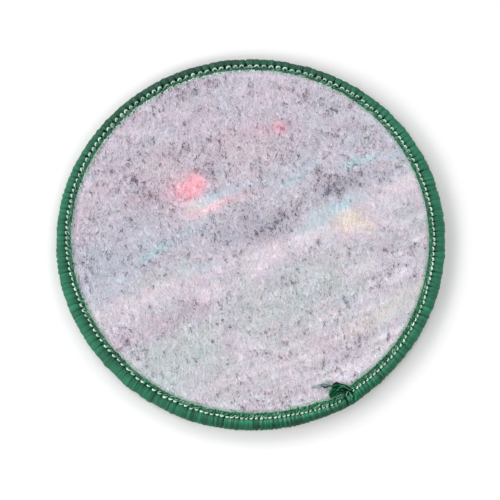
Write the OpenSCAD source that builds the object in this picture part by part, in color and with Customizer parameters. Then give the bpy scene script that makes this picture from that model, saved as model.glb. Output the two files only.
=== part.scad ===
// Round hook-and-loop patch, lying on its printed front with the loop side up.
// Millimetres. +Z points out of the loop side. The origin is the centre of the
// patch, on the surface that the wrapped edge rests on.

/* [Patch] */
// Diameter over the wrapped edge
patch_d = 80; // [70:1:100]
// Thickness of the wrapped edge
patch_t = 3; // [2.9:0.1:3.4]

/* [Wrapped edge] */
// Width of the edge, from the rim to the inner side of the chain
edge_w = 3.4; // [3.2:0.1:3.8]
// Width of the outer band of wraps on the loop side
outer_band_w = 2; // [1.9:0.1:2.1]
// Width of the slot that the lock thread lies in
lock_slot_w = 0.5; // [0.45:0.05:0.6]
// Thickness of the yarn on the front and on the loop side
wrap_t = 0.55; // [0.5:0.05:0.6]
// Thickness of the yarn round the rim
rim_t = 0.8; // [0.7:0.1:1]
// Direction of the join of the edge, anticlockwise from +X, in degrees
join_angle = 300; // [290:5:310]
// Length of the join along the rim, in degrees
join_span = 6; // [4:1:10]
// How far the join stands out of the rim
join_bump = 0.3; // [0.2:0.05:0.4]

/* [Layers] */
// Thickness of the printed face fabric
face_t = 0.55; // [0.45:0.05:0.6]
// Height of the loop pile above the layer that the edge presses down
pile_rise = 0.3; // [0.15:0.05:0.35]
// Distance over which the pile eases down to the edge
pile_ease = 1.8; // [1.2:0.1:3]
// Play between neighbouring pieces
gap = 0.05; // [0.04:0.01:0.06]

/* [Thread tail] */
// Length of the yarn end that is left at the join
tail_length = 7.3; // [6:0.1:8]
// Width of the tail at its thickest
tail_width = 2.2; // [1.6:0.1:2.2]
// Thickness of the tail at its thickest
tail_t = 0.84; // [0.6:0.02:0.86]
// Angle between the tail and the line from its root to the centre
tail_turn = 58; // [50:1:62]

/* [Hidden] */
$fn = 180;

// Colours, as lit in the photo
green = [0.25, 0.46, 0.37];
dark_green = [0.17, 0.35, 0.27];
mint = [0.78, 0.88, 0.82];
lavender = [0.80, 0.77, 0.83];
plum = [0.55, 0.48, 0.58];

// Radii, from the rim inwards
rim_r = patch_d / 2;
rim_round = patch_t / 2;
band_r = rim_r - outer_band_w;
slot_r = band_r - lock_slot_w;
edge_r = rim_r - edge_w;
channel_r = rim_r - rim_t;
layer_r = channel_r - 2 * gap;
pile_foot_r = edge_r - 2 * gap;
face_margin_r = edge_r - gap;
face_step = 0.3;
bump_round = rim_round * 0.9;

// Heights, from the resting surface upwards
channel_z = wrap_t;
channel_top = patch_t - wrap_t;
face_z = channel_z + gap;
backing_z = face_z + face_t;
pressed_z = channel_top - gap;
pile_z = pressed_z + pile_rise;
face_recess = wrap_t - gap;

// Lock thread and chain
lock_r = lock_slot_w / 2 - gap;
lock_mid_r = (band_r + slot_r) / 2;
lock_drop = 0.08;
lock_z = patch_t - lock_r - lock_drop;
chain_slope = 0.28 * (slot_r - edge_r);

// The tail leaves the join and lies on pile that it presses down
tail_angle = join_angle + 2.4;
tail_root_r = edge_r - 0.37;
tail_drop = 0.06;
tail_z = patch_t - tail_drop - tail_t / 2;
tail_sides = 10;
bed_r = 3;
bed_z = tail_z - tail_t / 2 - gap;
bed_over = 0.4;
bed_aside = 0.25 * tail_width;

// One row per section of the tail: how far along it, the step aside as a share
// of the width, the half width and the half thickness as shares of the largest
tail_sections = [
    // along, aside, wide, thick
    [0.00, 0.00, 0.32, 0.60],
    [0.08, 0.06, 0.48, 0.85],
    [0.20, 0.19, 0.68, 1.00],
    [0.35, 0.30, 1.00, 1.00],
    [0.48, 0.32, 0.96, 0.92],
    [0.56, 0.32, 0.68, 0.74],
    [0.64, 0.30, 0.38, 0.52],
    [0.80, 0.32, 0.24, 0.34],
    [1.00, 0.38, 0.11, 0.18]
];

// The yarn wrapped over the rim, round outside and open inwards for the layers
module edge_wraps() {
    color(green)
        difference() {
            union() {
                rotate_extrude() {
                    translate([edge_r, 0])
                        square([edge_w - rim_round, patch_t]);
                    translate([rim_r - rim_round, rim_round])
                        circle(r = rim_round);
                }
                rotate([0, 0, join_angle - join_span / 2])
                    rotate_extrude(angle = join_span)
                        translate([rim_r - bump_round + join_bump, rim_round])
                            circle(r = bump_round);
            }
            translate([0, 0, channel_z])
                cylinder(r = channel_r, h = channel_top - channel_z);
            translate([0, 0, channel_z])
                cylinder(r = band_r, h = patch_t);
            translate([0, 0, -1])
                cylinder(r = edge_r, h = patch_t);
        }
}

// The pale thread that locks the wraps, lying in its slot
module lock_thread() {
    color(mint)
        rotate_extrude()
            translate([lock_mid_r, lock_z])
                circle(r = lock_r);
}

// The chain of yarn along the inner side of the edge, with a rounded-off top
module inner_chain() {
    color(dark_green)
        rotate_extrude()
            polygon([
                [edge_r, channel_top],
                [slot_r, channel_top],
                [slot_r, patch_t - chain_slope],
                [slot_r - chain_slope, patch_t],
                [edge_r + chain_slope, patch_t],
                [edge_r, patch_t - chain_slope]
            ]);
}

// Puts what lies along +X at the root of the tail, pointing the tail's way
module at_tail_root() {
    rotate([0, 0, tail_angle])
        translate([tail_root_r, 0, 0])
            rotate([0, 0, 180 + tail_turn])
                children();
}

// The loop fabric: flat pile that eases down to the layer under the edge,
// with a bed pressed into it by the tail
module loop_backing() {
    color(lavender)
        difference() {
            rotate_extrude()
                polygon([
                    [0, backing_z + gap],
                    [layer_r, backing_z + gap],
                    [layer_r, pressed_z],
                    [pile_foot_r, pressed_z],
                    [pile_foot_r - pile_ease, pile_z],
                    [0, pile_z]
                ]);
            at_tail_root()
                translate([-bed_over, bed_aside, bed_z + bed_r])
                    rotate([0, 90, 0])
                        cylinder(r = bed_r, h = tail_length + 2 * bed_over);
        }
}

// The printed face, recessed in the edge, with its margin pressed thinner
module face_fabric() {
    color(plum)
        rotate_extrude()
            polygon([
                [0, face_recess],
                [face_margin_r - face_step, face_recess],
                [face_margin_r, face_z],
                [layer_r, face_z],
                [layer_r, backing_z],
                [0, backing_z]
            ]);
}

// Points round one section of the tail
function tail_ring(row) = [
    for (i = [0 : tail_sides - 1])
        let (turn = 360 * i / tail_sides)
        [
            row[0] * tail_length,
            row[1] * tail_width + cos(turn) * row[2] * tail_width / 2,
            tail_z + sin(turn) * row[3] * tail_t / 2
        ]
];

// The yarn end left at the join, swollen near its root and drawn out to a wisp
module thread_tail() {
    rings = len(tail_sections);
    points = [for (row = tail_sections) each tail_ring(row)];
    root_cap = [[for (i = [0 : tail_sides - 1]) i]];
    tip_cap = [[for (i = [tail_sides - 1 : -1 : 0]) (rings - 1) * tail_sides + i]];
    sides = [
        for (k = [0 : rings - 2], i = [0 : tail_sides - 1])
            let (a = k * tail_sides + i, b = k * tail_sides + (i + 1) % tail_sides)
            [a, a + tail_sides, b + tail_sides, b]
    ];
    color(dark_green)
        at_tail_root()
            polyhedron(points, concat(root_cap, tip_cap, sides), convexity = 4);
}

edge_wraps();
lock_thread();
inner_chain();
loop_backing();
face_fabric();
thread_tail();
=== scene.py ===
"""The looks of a round hook-and-loop patch, lying on its printed front with the loop side up.

Metres, in the part's own frame. Sizes are written in millimetres and turned into metres by MM.
"""

import math

import bmesh
import bpy
import numpy as np
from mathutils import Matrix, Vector


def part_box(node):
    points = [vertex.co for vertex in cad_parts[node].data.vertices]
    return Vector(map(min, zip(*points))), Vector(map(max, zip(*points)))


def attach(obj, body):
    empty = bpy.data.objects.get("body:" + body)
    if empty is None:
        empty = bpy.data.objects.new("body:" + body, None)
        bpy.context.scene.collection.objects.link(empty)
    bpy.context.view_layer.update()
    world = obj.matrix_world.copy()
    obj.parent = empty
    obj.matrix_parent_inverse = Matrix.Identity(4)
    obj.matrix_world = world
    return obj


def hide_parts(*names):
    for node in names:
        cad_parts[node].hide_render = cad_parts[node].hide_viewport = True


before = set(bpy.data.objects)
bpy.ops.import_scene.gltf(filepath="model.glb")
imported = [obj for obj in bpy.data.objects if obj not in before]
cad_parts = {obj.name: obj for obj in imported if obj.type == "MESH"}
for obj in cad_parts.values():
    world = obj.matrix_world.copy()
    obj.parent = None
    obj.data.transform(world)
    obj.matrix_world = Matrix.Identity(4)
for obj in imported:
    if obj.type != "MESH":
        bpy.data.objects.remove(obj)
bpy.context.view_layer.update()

MM = 0.001
TURN = 2 * math.pi
UP = np.array([0.0, 0.0, 1.0])
rng = np.random.default_rng(1998)

# Radii and heights of the patch, read from the frame's pieces
rim_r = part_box("edge_wraps")[1].x / MM
patch_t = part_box("edge_wraps")[1].z / MM
layer_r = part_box("loop_backing")[1].x / MM
pile_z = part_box("loop_backing")[1].z / MM
backing_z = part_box("loop_backing")[0].z / MM
face_top_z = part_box("face_fabric")[1].z / MM

# How far in from the rim the lock thread lies, the edge's inner line, and pile that the edge leaves alone
LOCK_IN = 2.15
INNER_IN = 3.4
SETTLED_IN = 6.4
inner_r = round(rim_r) - INNER_IN

# The edge presses the loop fabric down to this height, and its pile rises above it
PILE_RISE = 0.3
pressed_z = pile_z - PILE_RISE

# The edge's stitches: how many, and how wide they are in each direction. They crowd near the join.
STITCHES = 203
STITCH_WIDTHS = np.array([
    # degrees from +X, width
    (0, 1.14), (30, 1.19), (60, 1.37), (80, 1.55), (120, 1.55), (140, 1.40), (165, 1.21), (185, 1.15),
    (205, 1.26), (220, 1.44), (235, 1.44), (248, 1.20), (262, 1.07), (275, 0.96), (285, 0.93), (295, 0.90),
    (305, 0.93), (315, 1.05), (330, 1.08), (345, 1.11),
])

# The join of the edge, where its two ends overlap, and the stretch of it that has no lock thread
JOIN_AT = math.radians(300)
JOIN_HALF = math.radians(3.2)
JOIN_BARE = math.radians(1.7)


# Making meshes

def deselect():
    if bpy.context.object and bpy.context.object.mode != "OBJECT":
        bpy.ops.object.mode_set(mode="OBJECT")
    bpy.ops.object.select_all(action="DESELECT")


def add_primitive(add, name, **size):
    """A new primitive, the only thing selected, with its place in its mesh."""
    deselect()
    add(**size)
    bpy.ops.object.transform_apply(location=True, rotation=True, scale=True)
    made = bpy.context.object
    made.name = name
    return made


def pick(part, wanted):
    """In edit mode, selects only the vertices, edges or faces for which wanted says yes."""
    mesh = bmesh.from_edit_mesh(bpy.context.object.data)
    for kind in (mesh.verts, mesh.edges, mesh.faces):
        for element in kind:
            element.select = False
    for element in getattr(mesh, part):
        if wanted(element):
            element.select_set(True)
    bmesh.update_edit_mesh(bpy.context.object.data)


def read_points(mesh):
    """The points of a mesh, in millimetres."""
    points = np.empty(len(mesh.vertices) * 3, np.float32)
    mesh.vertices.foreach_get("co", points)
    return points.reshape(-1, 3) / MM


def write_points(mesh, points):
    """Moves the points of a mesh to places in millimetres."""
    mesh.vertices.foreach_set("co", (points * MM).astype(np.float32).ravel())
    mesh.update()


def tint_points(mesh, colour):
    """Writes the tint that the materials read: one colour for all points, or one for each."""
    rgba = np.ones((len(mesh.vertices), 4), np.float32)
    rgba[:, :3] = colour
    mesh.color_attributes.new("tint", "FLOAT_COLOR", "POINT").data.foreach_set("color", rgba.ravel())


def model_strand(sides, sections, pointed=False):
    """A straight strand of radius 1 from z 0 to 1, modelled once and laid later along every route.

    Returns its points, its faces, and the place round and along of each face corner.
    """
    strand = add_primitive(
        bpy.ops.mesh.primitive_cylinder_add, "strand",
        vertices=sides, radius=1, depth=1, location=(0, 0, 0.5))
    bpy.ops.object.mode_set(mode="EDIT")
    bpy.ops.mesh.select_mode(type="EDGE")
    pick("edges", lambda e: abs(e.verts[0].co.z - e.verts[1].co.z) > 0.5)
    bpy.ops.mesh.subdivide(number_cuts=sections - 1)
    if pointed:
        bpy.ops.mesh.select_mode(type="VERT")
        for end in (0, 1):
            pick("verts", lambda v: abs(v.co.z - end) < 0.01)
            bpy.ops.mesh.merge(type="CENTER")
    bpy.ops.object.mode_set(mode="OBJECT")
    points = np.array([v.co for v in strand.data.vertices])
    faces = [list(p.vertices) for p in strand.data.polygons]
    corners = []
    for face in faces:
        middle = points[face].mean(0)
        first = math.atan2(middle[1], middle[0])
        for v in face:
            swing = math.atan2(points[v][1], points[v][0]) - first
            swing = (swing + math.pi) % TURN - math.pi
            corners.append(((first + swing) / TURN, points[v][2]))
    bpy.data.objects.remove(strand)
    return {"points": points, "faces": faces, "corners": np.array(corners), "sections": sections}


def frames_along(centre, side):
    """Unit side and normal at each point of each route, square to the route."""
    along = np.gradient(centre, axis=1)
    along /= np.linalg.norm(along, axis=2, keepdims=True)
    normal = np.cross(along, side)
    normal /= np.linalg.norm(normal, axis=2, keepdims=True)
    return np.cross(normal, along), normal


# How far the map called strand steps round from one copy to the next, so that no two look alike
MAP_STEP = 0.37


def join_copies(name, strand, points, tint):
    """One joined mesh of many copies of a strand. points and tint are (copies, points of one, 3)."""
    copies, points_each = points.shape[:2]
    flat = np.concatenate(strand["faces"])
    totals = np.array([len(face) for face in strand["faces"]])
    starts = np.cumsum(totals) - totals
    number = np.arange(copies)[:, None]
    mesh = bpy.data.meshes.new(name)
    mesh.vertices.add(copies * points_each)
    mesh.loops.add(copies * len(flat))
    mesh.polygons.add(copies * len(totals))
    mesh.vertices.foreach_set("co", (points * MM).astype(np.float32).ravel())
    mesh.loops.foreach_set("vertex_index", (flat + number * points_each).astype(np.int32).ravel())
    mesh.polygons.foreach_set("loop_start", (starts + number * len(flat)).astype(np.int32).ravel())
    mesh.polygons.foreach_set("loop_total", np.tile(totals, copies).astype(np.int32))
    mesh.polygons.foreach_set("use_smooth", np.ones(copies * len(totals), bool))
    mesh.update(calc_edges=True)
    tint_points(mesh, tint.reshape(-1, 3))
    places = np.tile(strand["corners"], (copies, 1))
    places[:, 0] += np.repeat(np.arange(copies), len(flat)) * MAP_STEP
    mesh.uv_layers.new(name="strand").data.foreach_set("uv", places.astype(np.float32).ravel())
    mesh.validate()
    piece = bpy.data.objects.new(name, mesh)
    bpy.context.scene.collection.objects.link(piece)
    return piece


def lay(name, strand, centre, wide, thick, tint, side=UP, settled=True):
    """Lays a copy of the strand along each route. centre is (copies, sections + 1, 3).

    At each point of the routes, wide is half the size towards side, thick is half the size
    square to it, and tint is the colour.
    """
    side, normal = frames_along(centre, side)
    x, y, z = strand["points"].T
    at = np.rint(z * strand["sections"]).astype(int)
    points = (
        centre[:, at]
        + side[:, at] * (x * wide[:, at])[..., None]
        + normal[:, at] * (y * thick[:, at])[..., None]
    )
    if settled:
        points = settle(points)
    return join_copies(name, strand, points, np.broadcast_to(tint, centre.shape)[:, at])


def tapered(half, count, end_share):
    """The half size of each strand at count points of its route, smaller at its two ends."""
    sizes = np.repeat(half, count, 1)
    sizes[:, [0, -1]] *= end_share
    return sizes


def finish_piece(piece, slot, material, *nodes):
    piece.data.materials.clear()
    piece.data.materials.append(material)
    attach(piece, "root")
    if nodes:
        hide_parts(*nodes)
    return piece


# The patch isn't quite round, and its edge isn't equally wide all the way

def swell(angle, at, half_width, power=2):
    """1 at one direction, fading to 0 on both sides of it."""
    away = (angle - math.radians(at) + math.pi) % TURN - math.pi
    return np.exp(-((away / math.radians(half_width)) ** power))


# How far outwards three lines of the edge lie from their even places
EDGE_LINES = np.array([
    # degrees from +X, rim, lock thread, inner line
    (0, -0.24, -0.55, -0.28),
    (15, -0.17, -0.66, -0.20),
    (30, -0.10, -0.42, -0.12),
    (45, -0.07, -0.34, 0.10),
    (60, -0.13, 0.04, 0.29),
    (75, -0.19, 0.05, 0.53),
    (90, -0.05, 0.12, 0.55),
    (105, 0.06, 0.15, 0.70),
    (120, 0.04, 0.18, 0.67),
    (135, -0.07, 0.19, 0.62),
    (150, -0.09, 0.12, 0.50),
    (165, -0.02, 0.04, 0.41),
    (180, -0.03, -0.06, 0.25),
    (195, 0.09, -0.41, 0.09),
    (210, -0.10, -0.52, -0.06),
    (225, -0.20, -0.58, -0.12),
    (240, -0.15, -0.35, -0.02),
    (255, -0.15, -0.28, -0.04),
    (270, -0.23, -0.26, -0.12),
    (282, -0.25, -0.15, -0.04),
    (288, -0.27, 0.12, 0.03),
    (292, -0.25, 0.33, 0.25),
    (295, -0.20, 0.60, 0.68),
    (298, -0.16, 0.63, 0.64),
    (301, -0.16, 0.15, 0.15),
    (306, -0.25, -0.10, -0.10),
    (315, -0.40, -0.12, -0.02),
    (330, -0.30, -0.30, -0.13),
    (345, -0.21, -0.53, -0.26),
])


def settle(points):
    """Moves points of the ideal round patch to where they lie on the real one."""
    points = np.array(points, float)
    r = np.hypot(points[..., 0], points[..., 1])
    angle = np.arctan2(points[..., 1], points[..., 0])
    lobes = -0.0020 * np.cos(3 * angle) + 0.0035 * np.sin(3 * angle)
    rim, lock, inner = (
        np.interp(np.degrees(angle), EDGE_LINES[:, 0], line, period=360) for line in EDGE_LINES[:, 1:].T)
    inwards = rim_r - r
    outer_part = rim + (lock - rim) * np.clip(inwards / LOCK_IN, 0, 1)
    chain_part = (inner - lock) * np.clip((inwards - LOCK_IN) / (INNER_IN - LOCK_IN), 0, 1)
    fading = np.clip((SETTLED_IN - inwards) / (SETTLED_IN - INNER_IN), 0, 1)
    moved = r * (1 + lobes) + (outer_part + chain_part) * fading
    points[..., :2] *= (moved / np.maximum(r, 1e-6))[..., None]
    return points


def settle_piece(piece):
    """Moves a whole piece of the ideal patch to where it lies on the real one."""
    write_points(piece.data, settle(read_points(piece.data)))


# Smooth random fields over the patch, made from seeded lattices

def cloud(x, y, size_x, size_y, seed):
    """A smooth random value from 0 to 1 at each place, with blotches of about that size in mm."""
    lattice = np.random.default_rng(seed).random((128, 128))
    u, v = x / size_x + 1000, y / size_y + 1000
    i, j = np.floor(u).astype(int), np.floor(v).astype(int)
    fu, fv = u - i, v - j
    fu, fv = fu * fu * (3 - 2 * fu), fv * fv * (3 - 2 * fv)
    i0, j0, i1, j1 = i % 128, j % 128, (i + 1) % 128, (j + 1) % 128
    low = lattice[i0, j0] * (1 - fu) + lattice[i1, j0] * fu
    high = lattice[i0, j1] * (1 - fu) + lattice[i1, j1] * fu
    return low * (1 - fv) + high * fv


def paint(red, green, blue):
    """A colour as it is seen, 0 to 255, turned into the linear values that shaders use."""
    seen = np.array([red, green, blue]) / 255
    return np.where(seen <= 0.04045, seen / 12.92, ((seen + 0.055) / 1.055) ** 2.4)


# Colours of the yarns and the show-through on the pile
YARN_GREEN = paint(36, 106, 79)
# The far side's grey is a painted sheen, the look of yarn seen at a grazing angle
YARN_SHEEN_GREY = paint(36, 81, 63)
YARN_PURE = paint(36, 106, 71)
# Painted shade: the dark deep inside the edge and in the needle holes
YARN_DEEP_SHADE = paint(10, 60, 40)
YARN_SHADOW = paint(10, 36, 25)
CHAIN_GREEN = paint(49, 103, 81)
MINT = paint(181, 207, 192)

# The loops shade each other, so that the pile gives back this share of its own colour
PILE_GIVES = 0.833
PILE = paint(200, 193, 204)
SHOWS = {
    # as they are seen on the pile
    "day": paint(201, 197, 205),
    "sage": paint(193, 198, 200),
    "blue": paint(186, 190, 202),
    "plum": paint(190, 180, 193),
    "wine": paint(190, 170, 182),
    "lilac": paint(205, 196, 206),
    "rose": paint(211, 190, 203),
    "blush": paint(220, 184, 196),
    "dusk": paint(174, 172, 186),
    "coral": paint(253, 179, 193),
    "salmon": paint(239, 200, 207),
    "white": paint(221, 215, 219),
    "bright": paint(219, 213, 221),
    "cream": paint(219, 209, 217),
    "sky": paint(194, 201, 213),
    "cyan": paint(186, 206, 214),
    "moss": paint(191, 198, 200),
    "blushing": paint(207, 195, 204),
    "warm": paint(209, 193, 201),
    "yellow": paint(225, 211, 201),
    "straw": paint(211, 207, 206),
}

# Where the print shows through the pile. Millimetres from the centre, and degrees from +X.
SHOW_THROUGH = [
    # x, y, half length, half width, angle, colour, strength
    (8.0, -19.0, 40.0, 20.0, 20, "day", 1.00),
    (-16.0, -26.3, 11.0, 6.5, 32, "moss", 0.90),
    (-32.7, -15.5, 3.0, 2.0, 30, "moss", 0.70),
    (9.5, -11.8, 13.5, 5.0, 22, "moss", 0.75),
    (-18.5, -18.6, 8.0, 2.0, 24, "plum", 0.50),
    (2.5, -1.9, 34.0, 1.7, 24.8, "cream", 0.50),
    (-17.5, -8.4, 8.0, 2.4, 24, "sage", 0.60),
    (19.0, -19.5, 15.0, 1.6, 26, "blushing", 0.55),
    (30.0, -12.8, 7.0, 1.4, 26, "straw", 0.80),
    (5.0, -26.0, 14.0, 1.2, 24, "blushing", 0.30),
    (-29.0, -4.3, 12.6, 6.3, 30, "blue", 0.70),
    (19.4, 22.0, 12.6, 7.4, -10, "blue", 0.25),
    (-23.8, 13.4, 10.5, 6.3, 0, "plum", 0.25),
    (14.2, -23.7, 16.8, 4.2, 20, "lilac", 0.20),
    (-1.0, 20.5, 8.0, 4.0, 0, "warm", 0.50),
    (-19.0, 15.0, 5.0, 4.0, 0, "warm", 0.50),
    (3.9, 24.2, 6.3, 2.1, 5, "rose", 0.60),
    (5.6, 24.2, 1.7, 1.1, 0, "blush", 0.80),
    (20.6, 12.8, 6.8, 2.3, 14, "dusk", 0.35),
    (15.6, 10.4, 3.4, 2.2, 40, "dusk", 0.25),
    (-1.0, 1.8, 8.5, 3.0, 8, "dusk", 0.50),
    (-16.2, 31.9, 5.5, 1.6, 24, "plum", 0.80),
    (-7.6, 34.6, 4.0, 1.0, 12, "plum", 0.70),
    (-25.5, 25.3, 3.0, 2.0, 45, "plum", 0.70),
    (-29.4, 20.3, 2.4, 2.0, 0, "plum", 0.60),
    (-35.2, 1.5, 7.5, 1.4, 90, "plum", 0.70),
    (-34.0, -11.4, 3.0, 1.4, 70, "blue", 0.60),
    (-22.4, 8.0, 3.6, 2.0, 0, "wine", 0.70),
    (-15.0, 18.6, 3.4, 2.0, 0, "wine", 0.50),
    (31.5, 14.2, 5.0, 1.8, 14, "sky", 0.40),
    (8.8, 12.6, 4.2, 1.3, 20, "cyan", 0.60),
    (26.5, 4.0, 4.0, 2.0, 20, "cream", 0.50),
    (-13.6, -16.4, 6.3, 1.7, 20, "plum", 0.60),
    (-14.0, 10.2, 5.6, 3.6, 32, "blush", 0.45),
]

# The print's clearer marks, which lie over the fine streaks
CLEAR_MARKS = [
    # x, y, half length, half width, angle, colour, strength
    (-12.9, 10.9, 3.4, 2.7, 40, "coral", 0.40),
    (-12.0, 11.4, 2.2, 1.9, 50, "coral", 0.75),
    (-10.0, 8.0, 2.8, 1.7, 15, "white", 1.00),
    (-8.0, 9.6, 2.6, 1.0, 20, "sky", 0.60),
    (-8.7, 6.5, 4.2, 1.0, 20, "salmon", 0.60),
    (-3.1, 9.1, 3.2, 0.6, 20, "rose", 0.80),
    (-7.4, 10.0, 2.9, 0.8, 22, "sky", 0.80),
    (-7.4, 7.0, 6.8, 0.5, 21, "salmon", 0.35),
    (21.0, 15.6, 4.4, 0.5, 8, "sky", 0.70),
    (-0.2, 12.1, 6.3, 0.8, 17, "sky", 0.60),
    (11.1, 16.0, 6.3, 0.8, 16, "sky", 0.50),
    (22.9, 17.1, 3.4, 0.9, 12, "cyan", 1.00),
    (30.3, 18.6, 4.2, 0.8, 12, "sky", 0.90),
    (-28.0, -9.9, 4.6, 0.8, 38, "sky", 0.70),
    (-20.3, -3.4, 3.8, 0.8, 35, "cyan", 0.95),
    (-13.6, 0.9, 5.1, 1.1, 32, "sky", 0.60),
    (-10.5, -6.4, 4.2, 0.9, 22, "sky", 0.60),
    (11.9, 3.1, 3.6, 1.5, 40, "cyan", 0.70),
    (18.4, 7.4, 4.4, 1.4, 26, "cyan", 0.85),
    (11.7, 0.2, 3.6, 1.8, 36, "bright", 1.00),
    (3.1, -4.7, 4.6, 1.7, 35, "cream", 1.00),
    (-8.2, -11.2, 2.9, 1.7, 50, "cream", 0.95),
    (-26.9, -15.3, 6.3, 1.5, 20, "cream", 0.50),
    (-17.7, -9.9, 5.3, 1.1, 25, "cream", 0.45),
    (18.7, 1.8, 5.9, 1.5, 15, "cream", 0.80),
    (29.2, 10.8, 6.3, 1.7, 25, "cream", 0.60),
    (32.6, 12.9, 3.4, 0.8, 22, "white", 0.60),
    (20.3, 4.2, 3.2, 1.9, 8, "yellow", 0.85),
    (24.1, 2.4, 1.7, 1.3, 0, "yellow", 0.60),
    (26.6, -16.8, 8.4, 1.3, 25, "straw", 0.60),
    (3.9, -22.2, 12.6, 0.6, 22, "cream", 0.40),
    (19.4, -14.2, 10.5, 0.6, 24, "cream", 0.40),
    (-4.3, -29.3, 8.4, 0.6, 22, "cream", 0.30),
]

# The direction that the print's streaks and rows of specks run in, in degrees from +X
STREAK_ANGLE = 23


def turned(x, y, degrees):
    """Places measured along and across a direction."""
    turn = math.radians(degrees)
    return x * math.cos(turn) + y * math.sin(turn), y * math.cos(turn) - x * math.sin(turn)


def stain(colour, marks, x, y):
    """Blends each mark's colour into the colours at these places."""
    for at_x, at_y, length, width, angle, name, strength in marks:
        along, across = turned(x - at_x, y - at_y, angle)
        share = strength * np.exp(-((along / length) ** 4) - np.abs(across / width) ** 2.5)
        colour += (SHOWS[name] - colour) * share[:, None]


def ripple(x, y, seed):
    """A step aside, coarse and fine at once, that makes the outlines of the stains uneven."""
    return 1.2 * (cloud(x, y, 2.6, 2.6, seed) - 0.5) + 0.5 * (cloud(x, y, 0.8, 1.1, seed + 1) - 0.5)


def show_through(x, y):
    """The colour of the pile at each place: its own white with the print's stains in it."""
    colour = np.repeat(PILE[None], len(x), 0)
    rippled = (x + ripple(x, y, 5), y + ripple(x, y, 7))
    stain(colour, SHOW_THROUGH, *rippled)
    # Fine light streaks that run with the print, most of them towards the lower right
    along, across = turned(x, y, STREAK_ANGLE)
    streak = np.clip(cloud(along, across, 8.0, 0.55, 13) - 0.52, 0, 1) * np.clip((x - y - 8) / 40, 0.10, 1.0)
    colour += (SHOWS["bright"] - colour) * np.clip(3.4 * streak, 0, 1)[:, None]
    stain(colour, CLEAR_MARKS, *rippled)
    mottle = 0.95 + 0.10 * cloud(x, y, 2.2, 1.6, 9)
    reddish = 0.07 * (cloud(x, y, 1.7, 1.4, 10) - 0.5) + 0.04 * (cloud(x, y, 5.0, 3.5, 11) - 0.5)
    bluish = 0.05 * (cloud(x, y, 1.5, 1.6, 12) - 0.5)
    colour = colour * mottle[:, None] * np.column_stack([1 + reddish, 1 - 0.4 * reddish, 1 + bluish])
    return np.clip(colour / PILE_GIVES, 0, 1)


# Where the dark specks crowd. Millimetres from the centre, and degrees from +X.
SPECKLED = [
    # x, y, half length, half width, angle, strength
    (-8.0, 19.0, 27.0, 13.0, 10, 0.24),
    (-33.0, -3.0, 3.0, 9.0, 0, 0.25),
    (16.3, 12.3, 2.4, 2.8, 0, 0.90),
    (16.2, 9.6, 3.2, 2.0, 30, 0.60),
    (21.9, 15.3, 2.2, 1.7, 0, 0.70),
    (20.6, 12.2, 2.8, 1.5, 20, 0.45),
    (27.0, 14.0, 1.6, 1.6, 0, 0.40),
    (10.1, 6.9, 2.4, 2.0, 60, 0.55),
    (4.5, 2.6, 4.4, 2.2, 20, 0.85),
    (-1.2, 5.6, 2.6, 2.4, 0, 0.50),
    (-6.4, 2.6, 2.2, 4.4, 0, 0.40),
    (-8.6, 13.8, 1.6, 1.8, 0, 0.50),
    (-10.0, 16.4, 1.8, 1.6, 0, 0.45),
    (-23.0, 12.5, 2.6, 1.8, -50, 0.75),
    (-21.2, 9.4, 2.2, 1.4, 0, 0.60),
    (-12.8, 32.6, 2.8, 1.5, 20, 0.90),
    (-8.4, 34.0, 2.0, 1.2, 0, 0.70),
    (-10.5, 28.2, 1.6, 1.4, 0, 0.40),
    (-18.4, -3.3, 1.6, 1.4, 0, 0.80),
    (-21.5, -4.8, 2.4, 2.6, 0, 0.40),
    (-27.4, -6.0, 2.2, 1.6, 0, 0.35),
    (-13.5, -1.0, 1.4, 2.4, 0, 0.40),
    (-29.0, 5.8, 1.8, 1.4, 0, 0.40),
    (-32.5, 2.5, 1.5, 3.0, 0, 0.35),
    (7.0, -9.3, 2.6, 2.8, 0, 0.45),
    (14.7, -3.9, 2.0, 1.6, 0, 0.30),
    (-13.0, -13.6, 1.6, 1.6, 0, 0.40),
    (26.5, -8.7, 1.6, 1.4, 0, 0.40),
    (22.4, -21.5, 2.0, 1.6, 0, 0.50),
    (19.0, -15.0, 2.0, 3.0, 0, 0.25),
    (10.0, -17.0, 2.0, 4.0, 0, 0.20),
    (-24.8, -22.2, 4.0, 2.0, -30, 0.35),
    (-6.4, -28.7, 2.0, 1.6, 0, 0.30),
    (0.0, -33.0, 6.0, 2.0, 0, 0.35),
    (17.5, 29.5, 3.0, 1.8, 0, 0.40),
    (25.5, 21.6, 1.6, 2.0, 0, 0.40),
    (10.5, 31.7, 2.5, 1.8, 0, 0.35),
    (6.0, 24.2, 1.5, 1.0, 0, 0.50),
    (9.1, 17.2, 1.4, 2.0, 0, 0.35),
    # and where there are hardly any
    (-9.5, 7.6, 3.6, 1.6, 15, -0.60),
    (18.5, 4.6, 8.5, 3.6, 15, -0.60),
    (-15.0, -10.5, 7.0, 2.6, 15, -0.40),
    (3.0, -4.0, 3.5, 2.5, 30, -0.50),
    (31.0, 10.5, 6.0, 2.5, 10, -0.40),
    (31.0, -15.0, 4.0, 6.0, 0, -0.30),
]


def painted_light_by_edge(x, y):
    """How much lighter the pile and its ground are painted beside the edge, most at the far side: painted
    light against the shade that the edge casts there.
    """
    near = np.clip((np.hypot(x, y) - (inner_r - 2.0)) / 1.6, 0, 1)
    return 1 + near * (0.16 + 0.08 * swell(np.arctan2(y, x), 90, 70))


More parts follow.
